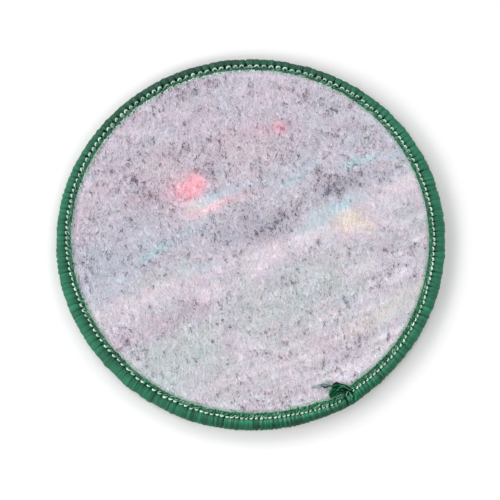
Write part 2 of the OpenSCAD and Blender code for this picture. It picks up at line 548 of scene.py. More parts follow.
def specks(x, y):
    """How likely the tips of the loops are to be dark at each place, 0 to about 1: partly ink, partly
    painted shadow of the gaps between loops.
    """
    zone = 0.30 * cloud(x, y, 2.6, 2.2, 22)
    for at_x, at_y, length, width, angle, strength in SPECKLED:
        along, across = turned(x - at_x, y - at_y, angle)
        zone += strength * np.exp(-((along / length) ** 2) - (across / width) ** 2)
    rows = 0.7 * (cloud(*turned(x, y, STREAK_ANGLE), 6.0, 0.9, 25) - 0.5)
    zone += rows * np.clip((x - y - 5) / 40, 0, 1)
    leaning = x + 0.3 * y
    fine = 0.5 * cloud(leaning, y, 0.40, 0.55, 23) + 0.5 * cloud(leaning, y, 0.9, 0.9, 24)
    return np.clip(0.03 + 0.36 * zone, 0, 1) + 2.2 * np.clip(fine - 0.66 + 0.24 * zone, 0, 1)


# Materials

def new_material(name, roughness, sheen, specular):
    material = bpy.data.materials.new(name)
    material.use_nodes = True
    shader = material.node_tree.nodes["Principled BSDF"]
    shader.inputs["Roughness"].default_value = roughness
    shader.inputs["Sheen Weight"].default_value = sheen
    shader.inputs["Sheen Roughness"].default_value = 0.5
    shader.inputs["Specular IOR Level"].default_value = specular
    return material, shader


def link(material, output, socket):
    material.node_tree.links.new(output, socket)


def node(material, kind, inputs, **settings):
    """A new shader node. Each of its inputs is given a value, or another node's output."""
    made = material.node_tree.nodes.new(kind)
    for name, value in settings.items():
        setattr(made, name, value)
    for name, value in inputs.items():
        if isinstance(value, bpy.types.NodeSocket):
            link(material, value, made.inputs[name])
        else:
            made.inputs[name].default_value = value
    return made


def object_place(material):
    return node(material, "ShaderNodeTexCoord", {}).outputs["Object"]


def noise(material, place, scale, detail=2.0):
    """A random value round 0.5. Its lumps are about 1 / scale across, in the units of place."""
    made = node(material, "ShaderNodeTexNoise", {"Vector": place, "Scale": scale, "Detail": detail})
    return made.outputs["Fac"]


def tinted(material, shader, value, low, high):
    """Base colour: the piece's own tint, times low where value is 0 and high where it is 1."""
    tint = node(material, "ShaderNodeAttribute", {}, attribute_name="tint").outputs["Color"]
    factor = node(material, "ShaderNodeMapRange", {"Value": value, "To Min": low, "To Max": high})
    parts = {0: tint, "Scale": factor.outputs["Result"]}
    scaled = node(material, "ShaderNodeVectorMath", parts, operation="SCALE")
    link(material, scaled.outputs[0], shader.inputs["Base Color"])


def bumped(material, shader, height, distance, strength):
    relief = {"Height": height, "Distance": distance * MM, "Strength": strength}
    bump = node(material, "ShaderNodeBump", relief)
    link(material, bump.outputs[0], shader.inputs["Normal"])


def yarn_material(name, roughness, sheen, filaments, specular=0.35):
    """Multi-filament yarn: fine lines that run along each strand, from its own map."""
    material, shader = new_material(name, roughness, sheen, specular)
    place = node(material, "ShaderNodeUVMap", {}, uv_map="strand").outputs[0]
    stretched = node(material, "ShaderNodeMapping", {"Vector": place, "Scale": (filaments, 1.6, 1.0)})
    lines = noise(material, stretched.outputs[0], 1.0)
    tinted(material, shader, lines, 0.62, 1.38)
    bumped(material, shader, lines, 0.05, 0.6)
    return material


def fibre_material(name):
    """Fine polyester loops: matte, with soft sheen."""
    material, shader = new_material(name, 0.85, 0.10, 0.2)
    tinted(material, shader, noise(material, object_place(material), 2200.0), 0.98, 1.02)
    return material


def ground_material(name):
    """Matte yarn packed close, with small pits: the knitted ground, and the painted shade that lies deep in
    the edge and in its needle holes.
    """
    material, shader = new_material(name, 0.95, 0.0, 0.0)
    pits = noise(material, object_place(material), 1500.0, 3.0)
    tinted(material, shader, pits, 0.75, 1.2)
    bumped(material, shader, pits, 0.12, 0.8)
    return material


# The printed front's soft bands: where each colour lies, and the colour as it is seen
BANDS = [
    # place on the ramp, colour
    (0.30, (150, 132, 165)),
    (0.42, (186, 160, 182)),
    (0.50, (208, 196, 212)),
    (0.58, (146, 176, 196)),
    (0.70, (110, 128, 158)),
]


def twill_material(name):
    """Muted printed twill: soft diagonal bands, and a fine weave across the ribs."""
    material, shader = new_material(name, 0.75, 0.15, 0.25)
    place = object_place(material)
    stretch = {"Vector": place, "Rotation": (0, 0, math.radians(-20)), "Scale": (12.0, 70.0, 1.0)}
    stretched = node(material, "ShaderNodeMapping", stretch)
    ramp = node(material, "ShaderNodeValToRGB", {"Fac": noise(material, stretched.outputs[0], 1.0)})
    while len(ramp.color_ramp.elements) < len(BANDS):
        ramp.color_ramp.elements.new(0.5)
    for element, (position, colour) in zip(ramp.color_ramp.elements, BANDS):
        element.position = position
        element.color = (*paint(*colour), 1)
    link(material, ramp.outputs["Color"], shader.inputs["Base Color"])
    bumped(material, shader, noise(material, place, 3500.0), 0.05, 0.7)
    return material


# The stitches of the edge

def stitch_angles():
    """The direction of each stitch, and its width along the rim."""
    fine = np.linspace(0, TURN, 7201)
    width = np.interp(np.degrees(fine), STITCH_WIDTHS[:, 0], STITCH_WIDTHS[:, 1], period=360)
    count = np.concatenate([[0], np.cumsum((1 / width[1:] + 1 / width[:-1]) / 2)])
    count *= STITCHES / count[-1]
    angles = np.interp(np.arange(STITCHES) + rng.normal(0, 0.04, STITCHES), count, fine)
    pitches = np.interp(angles, fine, rim_r / np.gradient(count, fine))
    return angles, pitches


STITCH_ANGLES, STITCH_PITCHES = stitch_angles()


def per_strand(values, each):
    """Each stitch's value, once for every strand of it, in a column."""
    return np.repeat(values, each)[:, None]


def round_the_patch(angle, r, step, z):
    """Points at radius r and height z, step mm anticlockwise of each direction."""
    turn = angle + step / r
    return np.stack(np.broadcast_arrays(r * np.cos(turn), r * np.sin(turn), z), -1)


def sideways(centre):
    """The anticlockwise direction at each point."""
    r = np.hypot(centre[..., 0], centre[..., 1])
    return np.stack([-centre[..., 1] / r, centre[..., 0] / r, np.zeros_like(r)], -1)


# One wrap of the outer band, from under the lock thread over the rim to the front
WRAP_ROUTE = np.array([
    # r, z, gap to the next wrap, how much its strands stand up there, how much out
    (37.80, 2.30, 0.34, 0.0, 0.0),
    (38.02, 2.48, 0.30, 0.2, 0.1),
    (38.26, 2.66, 0.20, 0.7, 0.3),
    (38.58, 2.77, 0.10, 1.0, 0.5),
    (39.00, 2.70, 0.06, 1.0, 0.8),
    (39.40, 2.42, 0.05, 0.7, 1.0),
    (39.65, 1.98, 0.05, 0.3, 1.0),
    (39.73, 1.46, 0.05, 0.0, 1.0),
    (39.66, 0.92, 0.05, 0.0, 1.0),
    (39.32, 0.47, 0.05, 0.0, 0.6),
    (38.60, 0.27, 0.05, 0.0, 0.0),
    (37.50, 0.27, 0.06, 0.0, 0.0),
    (36.72, 0.44, 0.06, 0.0, 0.0),
])
STRANDS_PER_WRAP = 3
# Along a wrap: where its top begins, where its outer wall begins and is steep, and under its crest
TOP_R = 38.4
WALL_R = 38.8
STEEP_R = 39.2
CREST_Z = 2.75
# Painted shade on the near outer wall: how much of its red, green and blue the yarn there is darkened by
WALL_SHADE = np.array([0.68, 0.38, 0.46])


def near_join(angle):
    """1 at the join, where the two ends of the sewing overlap, and 0 away from it."""
    return np.exp(-(((angle - JOIN_AT) / JOIN_HALF) ** 4))


def far_side(angle):
    """How grey the yarn is painted, a painted sheen of yarn seen at a grazing angle: most at the far side of
    the patch.
    """
    return swell(angle, 103, 51, power=4)


def near_side(angle):
    return swell(angle, 282, 56)


def smooth_sides(angle):
    """Where the strands of a wrap lie level: at the right, and at the lower left."""
    return np.maximum(swell(angle, 8, 50), swell(angle, 225, 30))


def wrap_tint(angle, aside, r, z):
    """The yarn's colour along each strand. Wraps and strands differ, and near the join some strands are
    pale.
    The near wall is in painted shade, as are the far side's outer wall, the gaps between strands and the
    wraps' inner half; the far side is painted grey, a painted sheen, and the upper right is painted lighter."""
    far, near, smooth = far_side(angle), near_side(angle), smooth_sides(angle)
    fuzzy = (r < WALL_R) * swell(angle, 287, 23)
    wrap_light = per_strand(rng.normal(1, 0.07, STITCHES), STRANDS_PER_WRAP)[..., None]
    # Wraps and strands differ at random, more at the far side and the lower right; the side strands of a
    # wrap are painted darker, painted shade between strands
    contrast = 1 + 0.9 * far + 0.9 * swell(angle, 320, 34)
    strand_light = 1 + rng.normal(0, 0.09, angle.shape) * contrast - (0.10 - 0.07 * smooth) * aside
    strand_light *= 1 + near * np.where(rng.random(angle.shape) < 0.32, -0.26, 0.15)
    wall = np.interp(r, [WALL_R, STEEP_R], [0, 1]) * (z < CREST_Z)
    # Painted shade where the wraps' inner half dips to the lock thread: all round except the near side, and
    # deeper at the lower left and the right
    inner = (r < TOP_R) * (1 - near)
    sunk = np.maximum(swell(angle, 218, 36), swell(angle, 6, 20)) * np.interp(r, [TOP_R, STEEP_R], [1, 0])
    # Painted shade on the near outer wall, deepest below the join, and a little on the far side's outer
    # wall; by the join the wraps' inner part is lighter with fuzz
    shade = np.minimum(near * WALL_SHADE * (1 + 0.35 * swell(angle, 291, 24)), 0.85)
    painted_shade_and_fuzz = (1 - wall * (shade + 0.16 * far)) * (1 - 0.14 * inner) * (1 + 0.48 * fuzzy) * (1 - 0.34 * sunk)
    # Painted light at the upper right, and a little painted shade where the strands lie level
    lit = (1 + 0.18 * swell(angle, 40, 38)) * (1 - 0.04 * smooth)
    tint = (YARN_GREEN * (1 - far) + YARN_SHEEN_GREY * far) * wrap_light * strand_light * painted_shade_and_fuzz * lit
    pale = np.clip(1.3 * fuzzy, 0, 1) * (0.45 * (rng.random(angle.shape) < 0.35))
    return tint + (MINT * 0.42 - tint) * pale


def make_wraps():
    angle = per_strand(STITCH_ANGLES, STRANDS_PER_WRAP)
    pitch = per_strand(STITCH_PITCHES, STRANDS_PER_WRAP)
    place = np.tile([-1.0, 0.0, 1.0], STITCHES)[:, None]
    aside = np.abs(place)
    r, z, gap, up, out = WRAP_ROUTE.T
    along = np.linspace(0, 1, len(r))
    lean = per_strand(rng.normal(0, 0.03, STITCHES), STRANDS_PER_WRAP)
    rise = per_strand(rng.normal(0, 0.035, STITCHES), STRANDS_PER_WRAP)
    loose = per_strand(rng.random(STITCHES), STRANDS_PER_WRAP)
    joined, smooth = near_join(angle), smooth_sides(angle)
    close = np.maximum(near_side(angle), swell(angle, 228, 28))
    top_gap = 0.70 + 0.5 * loose**2 + 0.5 * far_side(angle) - 0.40 * close + 0.35 * swell(angle, 8, 50)
    gap = gap * np.where(r < WALL_R, top_gap, 0.5 + 0.8 * loose**4)
    half = 0.5 * (pitch * (r / rim_r) - gap)
    stray = rng.normal(0, 0.022, angle.shape) * (1 + 3 * joined)
    step = place * half * 0.60 + stray + (lean - 0.5 * joined) * (along - 0.2)
    stand = rise * (1 + 0.6 * smooth) + rng.normal(0, 0.025, angle.shape)
    stand += 0.10 * joined - (0.06 - 0.035 * smooth) * aside
    centre = round_the_patch(angle, r + stand * out, step, z + stand * up)
    wide = half * np.where(r > WALL_R, 0.52 + 0.09 * smooth, 0.47) * (0.94 + 0.12 * rng.random(angle.shape))
    thick = tapered(np.full(angle.shape, 0.25), len(r), 0.64)
    tint = wrap_tint(angle[..., None], aside[..., None], r[:, None], z[:, None])
    strand = model_strand(6, len(r) - 1)
    piece = lay("edge_wraps_yarn", strand, centre, wide, thick, tint, sideways(centre))
    return finish_piece(piece, "edge_yarn", yarn_material("edge_yarn", 0.6, 0.03, 16, 0.22), "edge_wraps")


CORE_PROFILE = [
    # r, z round the dark lining between the wraps and the layers, painted shade for the depth between the
    # wraps
    (36.70, 0.34), (38.60, 0.34), (39.26, 0.56), (39.48, 0.96), (39.52, 1.46), (39.48, 1.94),
    (39.24, 2.28), (38.60, 2.47), (37.80, 2.47), (37.45, 2.55), (36.62, 2.55), (36.62, 2.42), (38.60, 2.42),
    (39.12, 2.22), (39.20, 1.46), (39.14, 0.68), (38.60, 0.52), (36.70, 0.52),
]


def spin_profile(name, profile, steps):
    """Turns a closed outline of r and z once round the patch's axis."""
    ring = add_primitive(
        bpy.ops.mesh.primitive_circle_add, name, vertices=len(profile), radius=1, fill_type="NOTHING")
    for vertex, (r, z) in zip(ring.data.vertices, profile):
        vertex.co = (r * MM, 0, z * MM)
    bpy.ops.object.mode_set(mode="EDIT")
    bpy.ops.mesh.select_all(action="SELECT")
    bpy.ops.mesh.spin(steps=steps, angle=TURN, center=(0, 0, 0), axis=(0, 0, 1))
    bpy.ops.mesh.select_all(action="SELECT")
    bpy.ops.mesh.remove_doubles(threshold=0.001 * MM)
    bpy.ops.mesh.normals_make_consistent(inside=False)
    bpy.ops.object.mode_set(mode="OBJECT")
    bpy.ops.object.shade_smooth()
    return ring


def make_core():
    """The dark lining, painted shade deep between the wraps. It is painted lighter under the chain, where
    more light gets in.
    """
    core = spin_profile("edge_core", CORE_PROFILE, 240)
    settle_piece(core)
    r = np.hypot(*read_points(core.data).T[:2])[:, None]
    under_chain, under_top = YARN_DEEP_SHADE * 2.4, YARN_SHADOW * 1.8
    tint_points(core.data, np.where(r < 37.6, under_chain, np.where(r < 38.7, under_top, YARN_SHADOW)))
    return finish_piece(core, "edge_yarn", ground_material("edge_core"))


# One arc of the lock thread. It bends outwards, and both its legs dive between the wraps.
ARC_ROUTE = np.array([
    # step, r, z
    (-0.17, 37.70, 2.44),
    (-0.23, 37.84, 2.72),
    (-0.15, 38.00, 2.90),
    (0.00, 38.04, 2.96),
    (0.14, 37.93, 2.94),
    (0.23, 37.75, 2.84),
    (0.27, 37.60, 2.68),
    (0.25, 37.50, 2.44),
])
# The stitch width at which an arc has the size of this route
ARC_PITCH = 1.15


def make_lock_thread():
    away = np.abs((STITCH_ANGLES - JOIN_AT + math.pi) % TURN - math.pi)
    kept = away > JOIN_BARE
    angle, pitch = STITCH_ANGLES[kept][:, None], STITCH_PITCHES[kept][:, None]
    step, r, z = ARC_ROUTE.T
    middle = r.mean()
    crowded, straight = swell(angle, 292, 9), swell(angle, 15, 60)
    size = (0.85 + 0.25 * rng.random(angle.shape) - 0.25 * crowded) * pitch / ARC_PITCH
    size *= 1 + 0.22 * straight
    swing = rng.normal(0, 0.12, angle.shape) + 0.30 * straight
    swung_step = step * size + (r - middle) * swing
    bow = 0.58 + 0.38 * swell(angle, 105, 45) - 0.25 * straight + 0.30 * (rng.random(angle.shape) - 0.5)
    swung_r = middle + (r - middle) * bow - step * swing
    slide_r, slide_step = rng.normal(0, 0.035, (len(angle), 2, 1)).transpose(1, 0, 2)
    height = z + rng.normal(0, 0.02, angle.shape)
    centre = round_the_patch(angle, swung_r + 1.8 * slide_r, swung_step + slide_step, height)
    fullness = 0.82 + 0.30 * rng.random(angle.shape) - 0.25 * crowded - 0.10 * straight
    wide = tapered(0.185 * fullness, len(r), 0.7)
    tint = MINT * np.clip(rng.normal(0.97, 0.15, (len(angle), 1, 1)), 0.50, 1.15)
    piece = lay("lock_thread_arcs", model_strand(6, len(r) - 1), centre, wide, wide * 0.95, tint)
    return finish_piece(piece, "lock_thread", yarn_material("lock_thread", 0.6, 0.05, 10), "lock_thread")


# The chain's strands at each stitch: two slant in from beside the arc, two do so further in, and two
# run along the inner line
CHAIN_ROUTES = {
    # step as a share of the pitch, r, z
    "outer": [(-0.28, 37.66, 2.54), (-0.20, 37.56, 2.76), (-0.08, 37.46, 2.87), (0.04, 37.36, 2.86),
              (0.12, 37.28, 2.74), (0.16, 37.22, 2.54)],
    "beside": [(0.22, 37.62, 2.50), (0.30, 37.54, 2.72), (0.42, 37.44, 2.82), (0.54, 37.34, 2.80),
               (0.62, 37.26, 2.68), (0.66, 37.20, 2.50)],
    "middle": [(-0.08, 37.32, 2.54), (0.00, 37.24, 2.76), (0.12, 37.14, 2.86), (0.24, 37.06, 2.84),
               (0.32, 37.00, 2.72), (0.36, 36.96, 2.50)],
    "between": [(0.42, 37.30, 2.52), (0.50, 37.22, 2.74), (0.62, 37.12, 2.83), (0.74, 37.04, 2.81),
                (0.82, 36.98, 2.70), (0.86, 36.94, 2.50)],
    "inner": [(-0.26, 36.98, 2.52), (-0.18, 36.90, 2.72), (-0.04, 36.80, 2.82), (0.10, 36.75, 2.82),
              (0.20, 36.74, 2.70), (0.26, 36.76, 2.50)],
    "innermost": [(0.24, 36.96, 2.50), (0.32, 36.86, 2.70), (0.46, 36.76, 2.80), (0.60, 36.71, 2.80),
                  (0.70, 36.72, 2.68), (0.76, 36.76, 2.48)],
}
# How many of each of these strands are pale; how light a strand is along its length, a painted glint in its
# middle and painted shade at its ends; and the pale green
CHAIN_PALE = [0.26, 0.26, 0.10, 0.10, 0.06, 0.06]
CHAIN_GLINT = np.array([0.7, 0.9, 1.25, 1.25, 0.9, 0.7])
PALE_GREEN = MINT * np.array([0.46, 0.60, 0.53])


def make_chain():
    routes = np.array(list(CHAIN_ROUTES.values()))
    angle, pitch = per_strand(STITCH_ANGLES, len(routes)), per_strand(STITCH_PITCHES, len(routes))
    share, r, z = np.tile(routes, (STITCHES, 1, 1)).transpose(2, 0, 1)
    sections = r.shape[1]
    middle = share.mean(1, keepdims=True)
    stretched = (share - middle) * rng.normal(1.0, 0.2, angle.shape)
    step = (middle + stretched + rng.normal(0, 0.09, angle.shape)) * pitch
    radius = r + rng.normal(0, 0.06, angle.shape) + rng.normal(0, 0.45, angle.shape) * (share - middle)
    centre = round_the_patch(angle, radius, step, z + rng.normal(0, 0.05, angle.shape))
    thick = tapered(0.145 * rng.normal(1, 0.15, angle.shape), sections, 0.7)
    angle = angle[..., None]
    light = np.clip(rng.normal(1.06, 0.30, angle.shape), 0.45, 2.0) * (1 - 0.25 * swell(angle, 312, 9))
    pure = swell(angle, 300, 75)
    tint = (CHAIN_GREEN * (1 - pure) + YARN_PURE * pure) * light * CHAIN_GLINT[:, None]
    pale = np.tile(CHAIN_PALE, STITCHES)[:, None, None]
    tint = np.where(rng.random(angle.shape) < pale, PALE_GREEN, tint)
    piece = lay("inner_chain_stitches", model_strand(5, sections - 1), centre, thick, thick * 0.95, tint)
    return finish_piece(piece, "chain_yarn", yarn_material("chain_yarn", 0.6, 0.05, 12), "inner_chain")


# The pale ends of fibre that stand up along the inner line of the edge: three in a row by each
# stitch, and two more further in
ENDS_PER_STITCH = 5
ENDS_IN_ROW = 3


def make_fringe():
    angle, pitch = per_strand(STITCH_ANGLES, ENDS_PER_STITCH), per_strand(STITCH_PITCHES, ENDS_PER_STITCH)
    order = np.tile(np.arange(ENDS_PER_STITCH), STITCHES)[:, None]
    share = np.linspace(-0.5, 0.5, 4)
    length = 0.28 + 0.30 * rng.random(angle.shape)
    step = (0.34 + 0.33 * (order % ENDS_IN_ROW)) * pitch + share * length
    turn = rng.normal(0.12, 0.45, angle.shape)
    row_r = inner_r - 0.18 - 0.22 * (order >= ENDS_IN_ROW)
    radius = row_r - share * length * turn + rng.normal(0, 0.09, angle.shape)
    height = pile_z + 0.12 + 0.10 * (0.25 - share**2) + rng.normal(0, 0.03, angle.shape)
    centre = round_the_patch(angle, radius, step, height)
    far = swell(angle, 110, 60)
    wide = tapered(0.09 * (0.2 + 0.8 * rng.random(angle.shape) ** 1.5 + 0.4 * far), len(share), 0.5)
    green = MINT * np.array([0.54, 0.72, 0.62])
    light = np.clip(rng.normal(0.97, 0.24, angle.shape), 0.35, 1.25)
    tint = (green + (MINT * 1.1 - green) * far[..., None]) * light[..., None]
    piece = lay("inner_line_fringe", model_strand(5, len(share) - 1), centre, wide, wide, tint)
    return finish_piece(piece, "lock_thread", yarn_material("fringe", 0.8, 0.0, 6))


# The loop fabric

def make_slab(name, radius, top, bottom, cuts):
    """A round slab: a circle filled with a grid of even faces, drawn down at its rim and closed."""
    slab = add_primitive(
        bpy.ops.mesh.primitive_circle_add, name,
        vertices=128, radius=radius * MM, fill_type="NOTHING", location=(0, 0, top * MM))
    bpy.ops.object.mode_set(mode="EDIT")
    bpy.ops.mesh.select_all(action="SELECT")
    bpy.ops.mesh.fill_grid(span=32)
    bpy.ops.mesh.select_all(action="SELECT")
    bpy.ops.mesh.subdivide(number_cuts=cuts)
    bpy.ops.mesh.select_mode(type="EDGE")
    pick("edges", lambda e: e.is_boundary)
    bpy.ops.mesh.extrude_edges_move(TRANSFORM_OT_translate={"value": (0, 0, (bottom - top) * MM)})
    bpy.ops.mesh.edge_face_add()
    bpy.ops.mesh.select_all(action="SELECT")
    bpy.ops.mesh.normals_make_consistent(inside=False)
    bpy.ops.object.mode_set(mode="OBJECT")
    bpy.ops.object.shade_smooth()
    return slab


def tail_bed(x, y):
    """How far the pile is pressed down under the tail, 0 to 1."""
    return np.exp(-(((x - 16.6) / 3.6) ** 4) - ((y + 31.4) / 1.3) ** 4)


# Cloth that the edge holds ends this far short of the layers in the frame
CUT_SHORT = 0.1


def make_loop_ground():
    ground = make_slab("loop_ground", layer_r - CUT_SHORT, pressed_z, backing_z, 4)
    points = read_points(ground.data)
    x, y = points[:, 0], points[:, 1]
    top = points[:, 2] > pressed_z - 0.01
    inside = np.clip((inner_r - 0.2 - np.hypot(x, y)) / 1.8, 0, 1)
    lumps = 0.14 * cloud(x, y, 1.1, 1.3, 31) + 0.08 * cloud(x, y, 0.6, 0.7, 32)
    rise = inside * (0.08 + lumps) - 0.25 * tail_bed(x, y) * inside
    points[:, 2] += np.where(top, rise, 0)
    # The ground between the loops is painted darker than the pile over it: painted shade under the loops
    tint_points(ground.data, show_through(x, y) * 0.80 * painted_light_by_edge(x, y)[:, None])
    write_points(ground.data, settle(points))
    return finish_piece(ground, "loop_pile", ground_material("loop_ground"), "loop_backing")


FIBRES = 42000
FIBRE_PIECES = 3
# The direction that most loops lie in
NAP = math.radians(106)
# A loop runs level, arches over its crown, and may bend aside, in shares at its four points
FIBRE_RUN = np.array([-0.5, -0.17, 0.17, 0.5])
FIBRE_ARCH = np.array([-0.25, 0.85, 0.85, -0.25])
FIBRE_BEND = np.array([0, 1, 1, 0])


def random_places(radius, count):
    """Even random places within a circle."""
    r = radius * np.sqrt(rng.random(count))
    at = TURN * rng.random(count)
    return r * np.cos(at), r * np.sin(at)


def lying(x, y, lean, run, bend, height):
    """Routes of short strands, each round its own place: run along the way it leans, bend aside."""
    ahead, aside = np.cos(lean)[:, None], np.sin(lean)[:, None]
    return np.stack([
        x[:, None] + run * ahead - bend * aside,
        y[:, None] + run * aside + bend * ahead,
        height,
    ], -1)


def lay_fibres(name, strand, count):
    x, y = random_places(inner_r - 0.1, count)
    one_each = (count, 1)
    lean = NAP + math.radians(60) * (cloud(x, y, 5, 5, 41) - 0.5) + rng.normal(0, math.radians(24), count)
    length = 0.60 + 0.70 * rng.random(one_each)
    inside = np.clip((inner_r - np.hypot(x, y)) / 1.2, 0.35, 1.0)[:, None]
    pressed = tail_bed(x, y)[:, None]
    low = pressed_z + 0.15 + 0.09 * rng.random(one_each) * inside - 0.15 * pressed
    crown = (0.04 + 0.06 * rng.random(one_each)) * (0.4 + 0.6 * inside) * (1 - 0.7 * pressed)
    bend = rng.normal(0, 0.10, one_each) * FIBRE_BEND
    raised = rng.random(one_each) < 0.03
    height = low + FIBRE_ARCH * crown + 0.06 + 0.06 * raised
    centre = lying(x, y, lean, FIBRE_RUN * length, bend, height)
    reach = np.hypot(centre[..., 0], centre[..., 1])
    centre[..., :2] *= np.minimum(1, (inner_r - 0.05) / reach)[..., None]
    thick = np.repeat(0.028 + 0.018 * rng.random(one_each) + 0.022 * raised, len(FIBRE_RUN), 1)
    x, y = centre[..., 0].ravel(), centre[..., 1].ravel()
    tint = (show_through(x, y) * painted_light_by_edge(x, y)[:, None]).reshape(centre.shape)
    # Loops differ a little at random; the raised ones are painted a fifth lighter, a painted glint
    tint *= (0.945 + 0.045 * rng.random(one_each) + 0.20 * raised)[..., None]
    edge = np.clip((np.hypot(x, y) - (inner_r - 1.0)) / 0.8, 0, 1).reshape(thick.shape)
    tint += (MINT - tint) * (0.20 * edge)[..., None]
    return lay(name, strand, centre, thick * 0.45, thick * 1.2, tint)


def make_pile():
    strand = model_strand(3, len(FIBRE_RUN) - 1, pointed=True)
    material = fibre_material("loop_fibre")
    for number in range(FIBRE_PIECES):
        piece = lay_fibres(f"loop_pile_{number + 1}", strand, FIBRES // FIBRE_PIECES)
        finish_piece(piece, "loop_pile", material)


DARK_SINGLES = 6800
DARK_CLUSTERS = 400
TIPS_PER_CLUSTER = 5
# How far the tips of a cluster spread in x and y
CLUSTER_SPREAD = np.array([[0.19], [0.32]])
TIP_RUN = np.array([-0.5, -0.2, 0.2, 0.5])
TIP_DROP = np.array([-0.06, 0.0, 0.0, -0.06])
INK_AND_SHADE_HUE = np.array([1.04, 0.94, 1.06])


def scatter(wanted, weight):
    """Random places on the pile, more of them where weight is high."""
    tries = wanted * 12
    x, y = random_places(inner_r - 0.3, tries)
    kept = np.argsort(rng.random(tries) / np.maximum(weight(x, y), 1e-3))[:wanted]
    return x[kept], y[kept]


def make_dark_tips():
    """The dark specks: short tips of loops lying in the top of the pile, dark partly from the ink they took
    up and partly as painted shadow of the gaps between loops.
    """
    singles = np.array(scatter(DARK_SINGLES, specks))
    clusters = np.array(scatter(DARK_CLUSTERS, lambda x, y: specks(x, y) ** 2))
    in_clusters = DARK_CLUSTERS * TIPS_PER_CLUSTER
    lean = NAP + rng.normal(0, math.radians(22), DARK_SINGLES + in_clusters)
    spread = rng.normal(0, 1, (2, in_clusters)) * CLUSTER_SPREAD
    x, y = np.hstack([singles, np.repeat(clusters, TIPS_PER_CLUSTER, 1) + spread])
    count = len(x)
    clustered = np.arange(count) >= DARK_SINGLES
    length = 0.20 + 0.34 * rng.random(count) + 0.06 * clustered
    high = pressed_z + 0.33 + 0.09 * rng.random(count) - 0.3 * tail_bed(x, y)
    centre = lying(x, y, lean, TIP_RUN * length[:, None], 0, high[:, None] + TIP_DROP)
    thick = np.repeat((0.038 + 0.036 * rng.random(count) + 0.016 * clustered)[:, None], len(TIP_RUN), 1)
    # How dark each tip is: partly ink, partly painted shadow of the gaps between loops
    ink_and_shade = np.where(clustered, 0.10 + 0.28 * rng.random(count), 0.12 + 0.48 * rng.random(count))
    own = show_through(x, y)
    tint = own * ink_and_shade[:, None] * INK_AND_SHADE_HUE
    # In the pinkest stains the tips keep their red
    keeps_red = np.clip(4 * (own[:, 0] / own[:, 1] - 1.3), 0, 1)
    tint[:, 0] += 0.80 * keeps_red * (own[:, 0] - tint[:, 0])
    tint[:, 2] += 0.20 * keeps_red * (own[:, 2] - tint[:, 2])
    strand = model_strand(3, len(TIP_RUN) - 1, pointed=True)
    piece = lay("loop_pile_dark_tips", strand, centre, thick, thick, tint[:, None])
    return finish_piece(piece, "loop_pile", fibre_material("loop_dark_tips"))


# Painted shadows in the needle holes along the inner line of the edge: dark strands where the holes are in
# shade. Most that can be seen are at the far side.

def make_needle_holes():
    kept = rng.random(STITCHES) < 0.12 + 0.80 * swell(STITCH_ANGLES, 128, 65)
    angle, pitch = STITCH_ANGLES[kept][:, None], STITCH_PITCHES[kept][:, None]
    far = swell(angle, 128, 65)
    share = np.array([0.0, 0.5, 1.0])
    length = (0.16 + 0.30 * rng.random(angle.shape)) * (0.6 + 0.6 * swell(angle, 140, 45))
    radius = inner_r - 0.04 - share * length
    step = 0.12 * pitch + rng.normal(0, 0.06, angle.shape) + 0.15 * share
    centre = round_the_patch(angle, radius, step, pressed_z + 0.34 + 0.07 * far)
    wide = (0.07 + (0.06 + 0.07 * far) * rng.random(angle.shape)) * np.array([0.5, 1.0, 0.5])
    piece = lay("needle_holes", model_strand(6, len(share) - 1), centre, wide * 0.5, wide, YARN_SHADOW)
    return finish_piece(piece, "chain_yarn", ground_material("needle_hole"))


# The yarn end that is left at the join, and the loosened yarn of the join itself.
LOOSE_YARN = {
    "near_black": paint(3, 32, 16),
    "deep": paint(7, 55, 32),
    "mid": paint(10, 81, 51),
    "fresh": paint(38, 108, 79),
    "bright": paint(8, 119, 66),
    "brown": paint(32, 34, 29),
    "dusk": paint(36, 79, 71),
    "haze": paint(116, 142, 140),
    "join": paint(118, 158, 138),
    "pale": paint(168, 195, 184),
}

